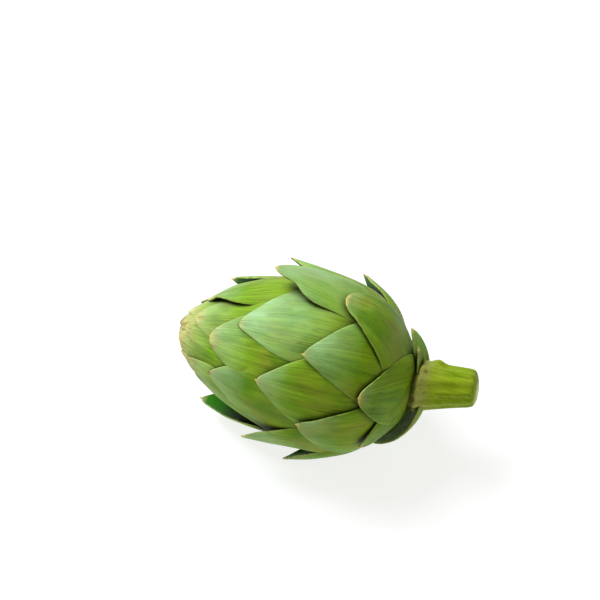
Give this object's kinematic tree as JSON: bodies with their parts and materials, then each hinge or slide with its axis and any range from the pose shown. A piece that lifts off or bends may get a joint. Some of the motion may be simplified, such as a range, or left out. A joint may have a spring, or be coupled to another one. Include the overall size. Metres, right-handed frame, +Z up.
{
  "type": "artichoke",
  "caption": "Globe artichoke picked with a short stem, lying on its side, with overlapping pointed bracts.",
  "frame": {"origin": "on the surface it lies on, under the middle of its box", "axes": "+X along the artichoke towards the cut stem, +Z up, so the tip points to -X and the front side faces -Y"},
  "size_m": [0.1408, 0.0928, 0.0865],
  "materials": {
    "bracts": null,
    "stem": null
  },
  "bodies": {
    "root": {"head": "bracts", "stem": "stem"}
  },
  "joints": []
}
